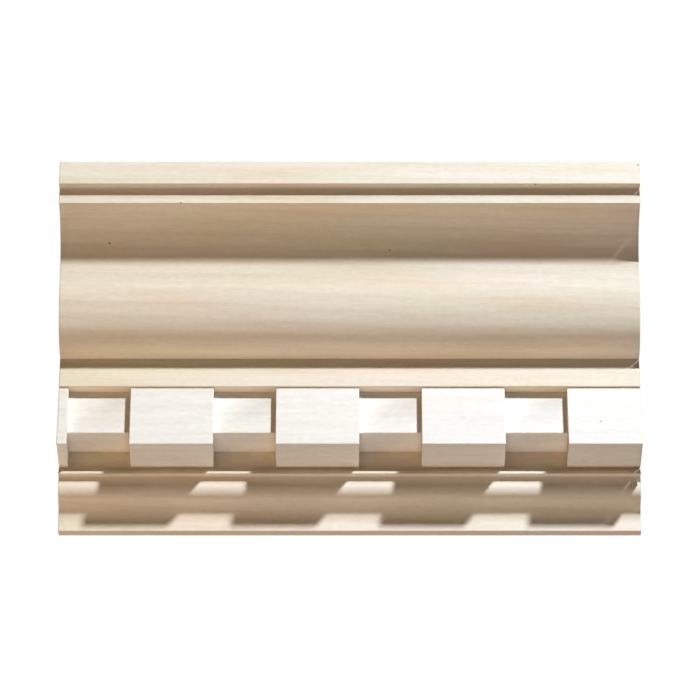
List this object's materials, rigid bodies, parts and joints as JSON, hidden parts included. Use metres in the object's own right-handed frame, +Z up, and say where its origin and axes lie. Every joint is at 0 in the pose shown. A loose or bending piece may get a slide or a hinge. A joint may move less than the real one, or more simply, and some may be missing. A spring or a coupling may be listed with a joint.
{
  "type": "cornice moulding length",
  "caption": "Length of bare hardwood crown moulding: a wave under a top band, a paler strip of square dentils, and a small wave at the foot.",
  "frame": {"origin": "centre of the wall foot, the narrow flat face that lies against the wall", "axes": "+X along the length, +Y into the wall, so the moulded face looks along -Y, and +Z up to the ceiling"},
  "size_m": [0.2032, 0.067, 0.1127],
  "materials": {
    "bare_wood": "bare, planed and sanded, unfinished",
    "pale_wood": "bare paler wood, sawn and sanded, unfinished"
  },
  "bodies": {
    "root": {"crown": "bare_wood", "dentil_strip": "pale_wood"}
  },
  "joints": []
}
